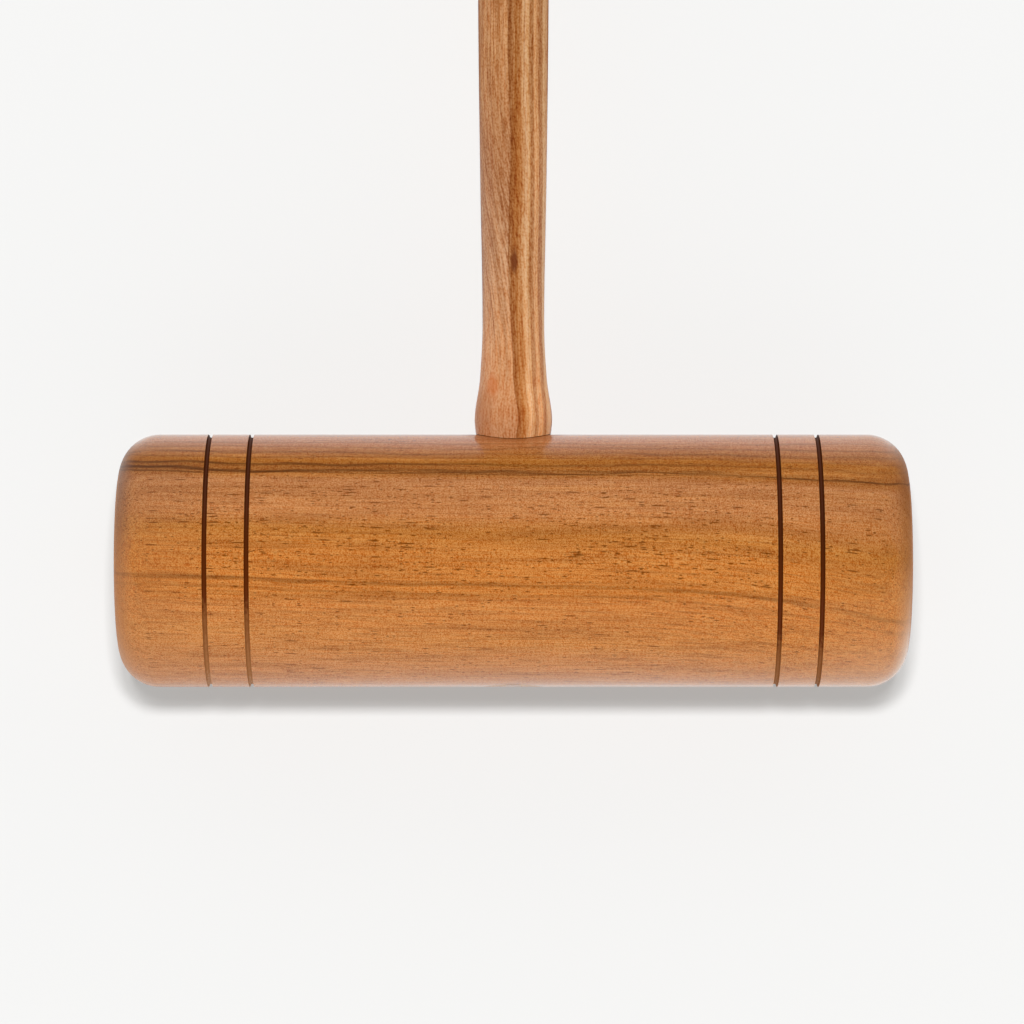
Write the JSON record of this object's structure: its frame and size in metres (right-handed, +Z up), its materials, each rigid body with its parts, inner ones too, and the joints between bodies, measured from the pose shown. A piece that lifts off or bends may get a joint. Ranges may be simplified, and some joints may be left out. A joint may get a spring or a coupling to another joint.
{
  "type": "croquet mallet",
  "caption": "Wooden croquet mallet: a long round head with burnt grooves near both striking faces, on a slim turned shaft with a flared foot and a planed grip.",
  "frame": {"origin": "on the ground, straight under the middle of the head, with the mallet lying at rest", "axes": "+X along the head towards its right striking face, +Y from the head towards the butt of the shaft, +Z up"},
  "size_m": [0.229, 0.9649, 0.0736],
  "materials": {
    "head_wood": "satin",
    "shaft_wood": "satin",
    "wedge_wood": "satin"
  },
  "bodies": {
    "root": {"head": "head_wood", "shaft": "shaft_wood", "tenon_wedge": "wedge_wood"}
  },
  "joints": []
}
